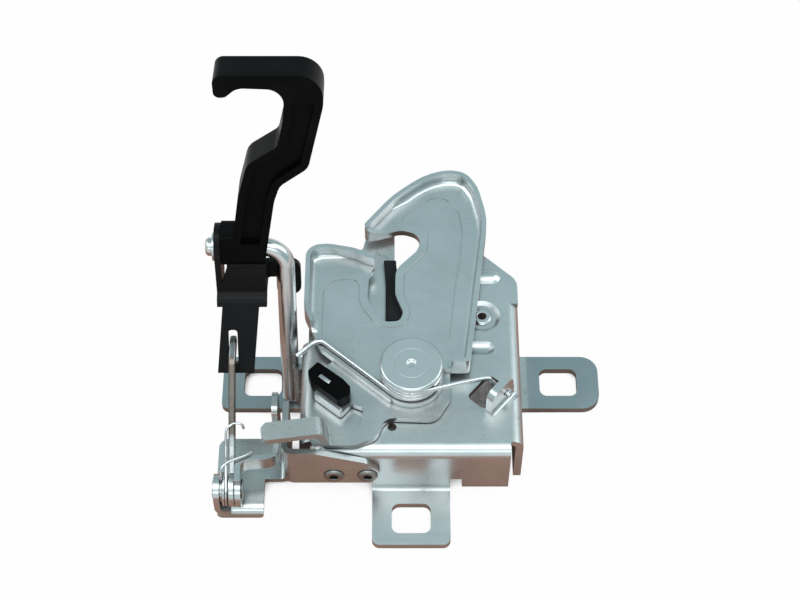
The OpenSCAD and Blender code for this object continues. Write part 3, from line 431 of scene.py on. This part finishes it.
def corner_group():
    """Shade that gathers where faces meet in a corner."""
    tree, inp, out = new_group(
        "shade in corners",
        [("Reach", "NodeSocketFloat", 0.002), ("Depth", "NodeSocketFloat", 0.6)],
        [("Share", "NodeSocketFloat")])
    open_air = add(tree, "ShaderNodeAmbientOcclusion", {"Distance": inp.outputs["Reach"]}, samples=6)
    shut_in = add(tree, "ShaderNodeMapRange",
                  {"Value": open_air.outputs["AO"], "From Min": 0.85, "From Max": 0.3,
                   "To Max": inp.outputs["Depth"]})
    tree.links.new(shut_in.outputs["Result"], out.inputs["Share"])
    return tree


GRIME = rgba(0.16, 0.16, 0.155)
CORNER_SHADE = rgba(0.06, 0.06, 0.062)
PLATING_DEPTH = 0.05
GRAIN_DEPTH = 0.06
PLATING = plating_group()
GRAIN = grain_group()
ZONE = zone_group()
CORNERS = corner_group()
BEAD = bead_tree()


def surface(name, group, values, metallic, bump, bump_depth, gleam=0.5, corners=0.0, zone=None):
    """A material that takes colour, satin and height from a group, placed on Object coordinates.

    A zone is (direction, from, to, edge, shade), in millimetres: a band of painted shade across the piece, in
    a darker colour.
    """
    material = bpy.data.materials.new(name)
    material.use_nodes = True
    tree = material.node_tree
    shader = tree.nodes["Principled BSDF"]
    place = tree.nodes.new("ShaderNodeTexCoord")
    finish = add(tree, "ShaderNodeGroup", node_tree=group)
    tree.links.new(place.outputs["Object"], finish.inputs["Coordinates"])
    for key, value in values.items():
        finish.inputs[key].default_value = value
    relief = add(tree, "ShaderNodeBump",
                 {"Height": finish.outputs["Height"], "Strength": bump, "Distance": bump_depth * MM})
    colour = finish.outputs["Color"]
    # Painted shade: a band across the piece in a darker colour.
    if zone:
        direction, low, high, edge, shade = zone
        band = add(tree, "ShaderNodeGroup", node_tree=ZONE)
        tree.links.new(place.outputs["Object"], band.inputs["Coordinates"])
        limits = {"Along": direction, "From": low * MM, "To": high * MM, "Edge": edge * MM}
        for key, value in limits.items():
            band.inputs[key].default_value = value
        colour = mixed(tree, band.outputs["Share"], colour, rgba(*shade))
    if corners:
        nook = add(tree, "ShaderNodeGroup", node_tree=CORNERS)
        nook.inputs["Depth"].default_value = corners
        colour = mixed(tree, nook.outputs["Share"], colour, CORNER_SHADE)
    tree.links.new(colour, shader.inputs["Base Color"])
    tree.links.new(finish.outputs["Roughness"], shader.inputs["Roughness"])
    tree.links.new(relief.outputs["Normal"], shader.inputs["Normal"])
    shader.inputs["Metallic"].default_value = metallic
    shader.inputs["Specular IOR Level"].default_value = gleam
    return material


def zinc(name, clear, cloudy, grime=0.3, satin=0.3, streaks=0.12, cloud_size=60.0, bump=0.12, zone=None):
    values = {"Clear": rgba(*clear), "Cloudy": rgba(*cloudy), "Grime": GRIME, "Cloud Size": cloud_size,
              "Grime Amount": grime, "Satin": satin, "Streaks": streaks}
    return surface(name, PLATING, values, 1.0, bump, PLATING_DEPTH, corners=0.6, zone=zone)


def black(name, deep, rubbed, grain_size, matt, bump, gleam=0.5):
    values = {"Deep": rgba(*deep), "Rubbed": rgba(*rubbed), "Grain Size": grain_size, "Matt": matt}
    return surface(name, GRAIN, values, 0.0, bump, GRAIN_DEPTH, gleam)


# One finish for each material slot
FINISH = {
    # Beyond 46 mm from the middle on X, on the base plate's side ears, the sheet is painted darker: painted
    # shade for the darker reflection the ears show.
    "zinc_sheet": zinc("zinc sheet", (0.60, 0.62, 0.625), (0.53, 0.555, 0.56), grime=0.5, satin=0.31,
                       zone=((1, 0, 0), 46, 90, 1.5, (0.33, 0.38, 0.395))),
    "zinc_hook": zinc("zinc hook", (0.61, 0.63, 0.635), (0.55, 0.575, 0.58), grime=0.22, satin=0.29),
    "bracket_zinc": zinc("zinc bracket", (0.58, 0.595, 0.595), (0.49, 0.51, 0.51), grime=0.25,
                         satin=0.28),
    "bar_steel": zinc("plated bar", (0.62, 0.62, 0.62), (0.53, 0.53, 0.53), grime=0.2, satin=0.24),
    "weld_steel": zinc("plated weld", (0.56, 0.57, 0.57), (0.38, 0.39, 0.39), grime=0.6, satin=0.26,
                       bump=0.5, cloud_size=500.0),
    "rivet_steel": zinc("turned rivet", (0.62, 0.64, 0.645), (0.57, 0.595, 0.60), grime=0.15, satin=0.3,
                        streaks=0.02),
    "dark_rivet": zinc("dull rivet", (0.34, 0.325, 0.31), (0.24, 0.23, 0.22), grime=0.5, satin=0.38),
    "spring_steel": zinc("spring wire", (0.70, 0.71, 0.72), (0.60, 0.61, 0.62), grime=0.1, satin=0.24),
    "bush_brass": zinc("plain brass", (0.7, 0.58, 0.33), (0.6, 0.48, 0.26), grime=0.2, satin=0.3),
    "bush_plastic": black("grey bush", (0.3, 0.31, 0.3), (0.36, 0.37, 0.36), 1500.0, 0.5, 0.1),
    "black_rubber": black("black rubber", (0.006, 0.006, 0.007), (0.013, 0.013, 0.014), 1300.0, 0.6,
                          0.2, 0.18),
    "black_plastic": black("black plastic", (0.0012, 0.0012, 0.0013), (0.003, 0.003, 0.0033), 1500.0, 0.42,
                           0.18, 0.05),
    "black_steel": black("black coated steel", (0.0025, 0.0025, 0.0028), (0.006, 0.006, 0.0065), 900.0, 0.4,
                         0.08, 0.14),
}

# Pieces whose finish differs from the rest of their slot
NODE_FINISH = {
    "release_lever": zinc("zinc lever", (0.56, 0.58, 0.585), (0.47, 0.49, 0.495), grime=0.55, satin=0.33),
    # The crank strip's brown band, 11 to 37 mm on Y, is a painted reflection: the darker brown that a steeper
    # stretch of the strip would reflect.
    "crank_strip": zinc("strip with painted brown reflection", (0.60, 0.61, 0.61), (0.52, 0.53, 0.53), grime=0.2, satin=0.28,
                        zone=((0, 1, 0), 11, 37, 2.5, (0.2, 0.165, 0.145))),
}

SLOT_OF = {part["node"]: part["material_slot"] for part in frame["record"]["subparts"]}
BODY_OF = {node: body for body, nodes in frame["record"]["behaviour"]["bodies"].items() for node in nodes}


def place_piece(obj, node):
    """Gives a finished piece its material and its body, and lets it stand for its solid."""
    obj.data.materials.clear()
    obj.data.materials.append(NODE_FINISH.get(node) or FINISH[SLOT_OF[node]])
    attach(obj, BODY_OF[node])
    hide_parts(node)


# Pieces with eased edges; the widths are in millimetres
EASED = {
    "base_plate": 0.35, "slot_buffer": 0.3, "boss_rivet": 0.15, "pivot_rivet": 0.18, "pivot_bush": 0.2,
    "support_rod": 0.3, "rod_end_ring": 0.2, "crank_bracket": 0.35, "bracket_rivets": 0.2, "crank_pin": 0.4,
    "crank_spacer": 0.2, "hook": 0.45, "release_lever": 0.5, "cable_clip": 0.4, "handle_bracket": 0.35,
    "handle_grip": 2.2, "handle_bush": 0.2, "crank_strip": 0.5, "crank_arm": 0.4,
}

# The hook's rim rises from its floor in a round, but not beside the mouth
FILLETS = {"hook": (2.6, 36.2, 36.8, (-25, -7.5, 30, 63))}

for node, width in EASED.items():
    place_piece(eased(node, width, 3 if width > 1 else 2, fillet=FILLETS.get(node)), node)


def swept_piece(node, path, radius, sides, step, ripple=0.0, ripple_length=1.0):
    """A wire or bead that stands for its solid; the sizes are in millimetres."""
    obj = swept(node + "_finished", path, {
        "Radius": radius * MM, "Step": step * MM, "Sides": sides, "Ripple": ripple,
        "Ripple Length": ripple_length * MM, "Material": FINISH[SLOT_OF[node]]})
    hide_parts(node)
    return obj


def cable_end():
    """The pale metal held in the clip's slot."""
    mesh = bpy.data.meshes.new("cable_end")
    work = bmesh.new()
    bmesh.ops.create_cube(work, size=1)
    bmesh.ops.scale(work, verts=work.verts, vec=CABLE_END * MM)
    bmesh.ops.bevel(work, geom=work.edges[:], offset=CABLE_END_EDGE * MM, segments=2, profile=0.5,
                    affect="EDGES")
    turn = Matrix.Rotation(math.radians(CLIP_TURN), 4, "Z")
    place = Matrix.Translation(CLIP_PLACE * MM) @ turn @ Matrix.Translation(CLIP_SLOT * MM)
    bmesh.ops.transform(work, matrix=place, verts=work.verts)
    work.to_mesh(mesh)
    work.free()
    mesh.materials.append(FINISH["rivet_steel"])
    obj = smooth(link(bpy.data.objects.new("cable_end", mesh)))
    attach(obj, "hook")


cable_end()
main_spring = swept_piece("main_spring", main_spring_path(), MAIN_WIRE_R, sides=20, step=0.5)
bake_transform(main_spring)
crank_spring = swept_piece("crank_spring", crank_spring_path(), CRANK_WIRE_R, sides=16, step=0.3)
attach(crank_spring, "crank")
rod_weld = swept_piece("rod_weld", weld_path(), WELD_R, sides=24, step=0.15, ripple=WELD_RIPPLE,
                       ripple_length=WELD_RIPPLE_LENGTH)
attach(rod_weld, "base")


# Studio

def area_light(name, at, towards, size, power):
    """A white rectangular lamp; places and sizes are in metres, the power in watts."""
    lamp = bpy.data.lights.new(name, "AREA")
    lamp.shape = "RECTANGLE"
    lamp.size, lamp.size_y = size
    lamp.energy = power
    obj = link(bpy.data.objects.new(name, lamp))
    obj.location = at
    obj.rotation_euler = (Vector(towards) - Vector(at)).to_track_quat("-Z", "Y").to_euler()


def floor_material():
    """Pale floor: white as the background and in reflections, with painted shadow where the tray shuts it in.
    """
    material = bpy.data.materials.new("pale floor")
    material.use_nodes = True
    tree = material.node_tree
    shader = tree.nodes["Principled BSDF"]
    output = tree.nodes["Material Output"]
    shader.inputs["Roughness"].default_value = 0.9
    white = add(tree, "ShaderNodeEmission", {"Color": rgba(1, 1, 1), "Strength": 1.0})
    path = tree.nodes.new("ShaderNodeLightPath")
    seen = path.outputs["Is Camera Ray"]
    for kind in ("Is Glossy Ray", "Is Transmission Ray"):
        seen = add(tree, "ShaderNodeMath", {0: seen, 1: path.outputs[kind]}, operation="MAXIMUM").outputs[0]
    # Painted shadow: occlusion darkens the floor's colour and its white under the tray.
    shelter = add(tree, "ShaderNodeAmbientOcclusion", {"Distance": 0.06})
    open_sky = add(tree, "ShaderNodeMapRange",
                   {"Value": shelter.outputs["AO"], "From Min": 0.12, "From Max": 0.3, "To Max": 0.97})
    tone = add(tree, "ShaderNodeValToRGB", {"Fac": open_sky.outputs["Result"]})
    tone.color_ramp.elements[0].color = rgba(0.03, 0.028, 0.027)
    tone.color_ramp.elements[1].color = rgba(0.6, 0.58, 0.56)
    tree.links.new(tone.outputs["Color"], shader.inputs["Base Color"])
    share = add(tree, "ShaderNodeMath", {0: seen, 1: open_sky.outputs["Result"]}, operation="MULTIPLY")
    both = add(tree, "ShaderNodeMixShader", {"Fac": share.outputs[0]})
    tree.links.new(shader.outputs[0], both.inputs[1])
    tree.links.new(white.outputs[0], both.inputs[2])
    tree.links.new(both.outputs[0], output.inputs["Surface"])
    return material


def card_material():
    """Warm brown card under the latch, which only its upright faces reflect."""
    material = bpy.data.materials.new("brown card")
    material.use_nodes = True
    tree = material.node_tree
    shader = tree.nodes["Principled BSDF"]
    shader.inputs["Roughness"].default_value = 0.9
    cloud = add(tree, "ShaderNodeTexNoise", {"Scale": 9.0, "Detail": 2.0})
    tone = add(tree, "ShaderNodeValToRGB", {"Fac": cloud.outputs["Fac"]})
    tone.color_ramp.elements[0].color = rgba(0.34, 0.185, 0.14)
    tone.color_ramp.elements[1].color = rgba(0.37, 0.205, 0.155)
    tree.links.new(tone.outputs["Color"], shader.inputs["Base Color"])
    return material


def flat_sheet(name, size, at, material):
    """A level sheet under the latch."""
    mesh = bpy.data.meshes.new(name)
    work = bmesh.new()
    bmesh.ops.create_grid(work, x_segments=2, y_segments=2, size=0.5)
    bmesh.ops.scale(work, verts=work.verts, vec=(*size, 1))
    bmesh.ops.translate(work, verts=work.verts, vec=at)
    work.to_mesh(mesh)
    work.free()
    mesh.materials.append(material)
    obj = link(bpy.data.objects.new(name, mesh))
    return obj


def build_studio():
    """Floor, card, sky and lamps, in metres and watts."""
    flat_sheet("floor", (12, 12), (0, 0, -0.0004), floor_material())
    card = flat_sheet("brown card", (0.5, 0.28), (0, -0.03, -0.0002), card_material())
    card.visible_camera = False
    card.visible_diffuse = False
    card.visible_transmission = False
    card.visible_shadow = False

    world = bpy.data.worlds.new("studio")
    bpy.context.scene.world = world
    world.use_nodes = True
    sky = world.node_tree.nodes["Background"]
    sky.inputs["Color"].default_value = rgba(0.7, 0.955, 1.0)
    sky.inputs["Strength"].default_value = 0.66

    area_light("overhead softbox", (-0.1, -0.3, 1.2), (-0.1, -0.3, 0.0), (1.5, 0.8), 8.5)
    area_light("strip behind the camera", (0, -1.4, 1.0), (0, 0, 0.03), (1.4, 0.4), 4.2)
    area_light("low front lamp", (0, -1.3, 0.16), (0, 0, 0.06), (1.2, 0.3), 0.6)
    for name, side in (("left softbox", -1), ("right softbox", 1)):
        area_light(name, (0.95 * side, 0.2, 0.8), (0, 0, 0.04), (0.8, 1.0), 5)


def build_camera():
    lens = bpy.data.cameras.new("photo view")
    lens.lens = CAMERA_LENS
    lens.sensor_width = CAMERA_SENSOR
    lens.sensor_fit = "HORIZONTAL"
    lens.clip_start = 0.01
    lens.clip_end = 40
    camera = link(bpy.data.objects.new("photo view", lens))
    camera.location = CAMERA_AT
    camera.rotation_euler = (math.radians(CAMERA_PITCH), 0, 0)
    bpy.context.scene.camera = camera


build_studio()
build_camera()
bpy.context.scene.view_settings.view_transform = "Standard"
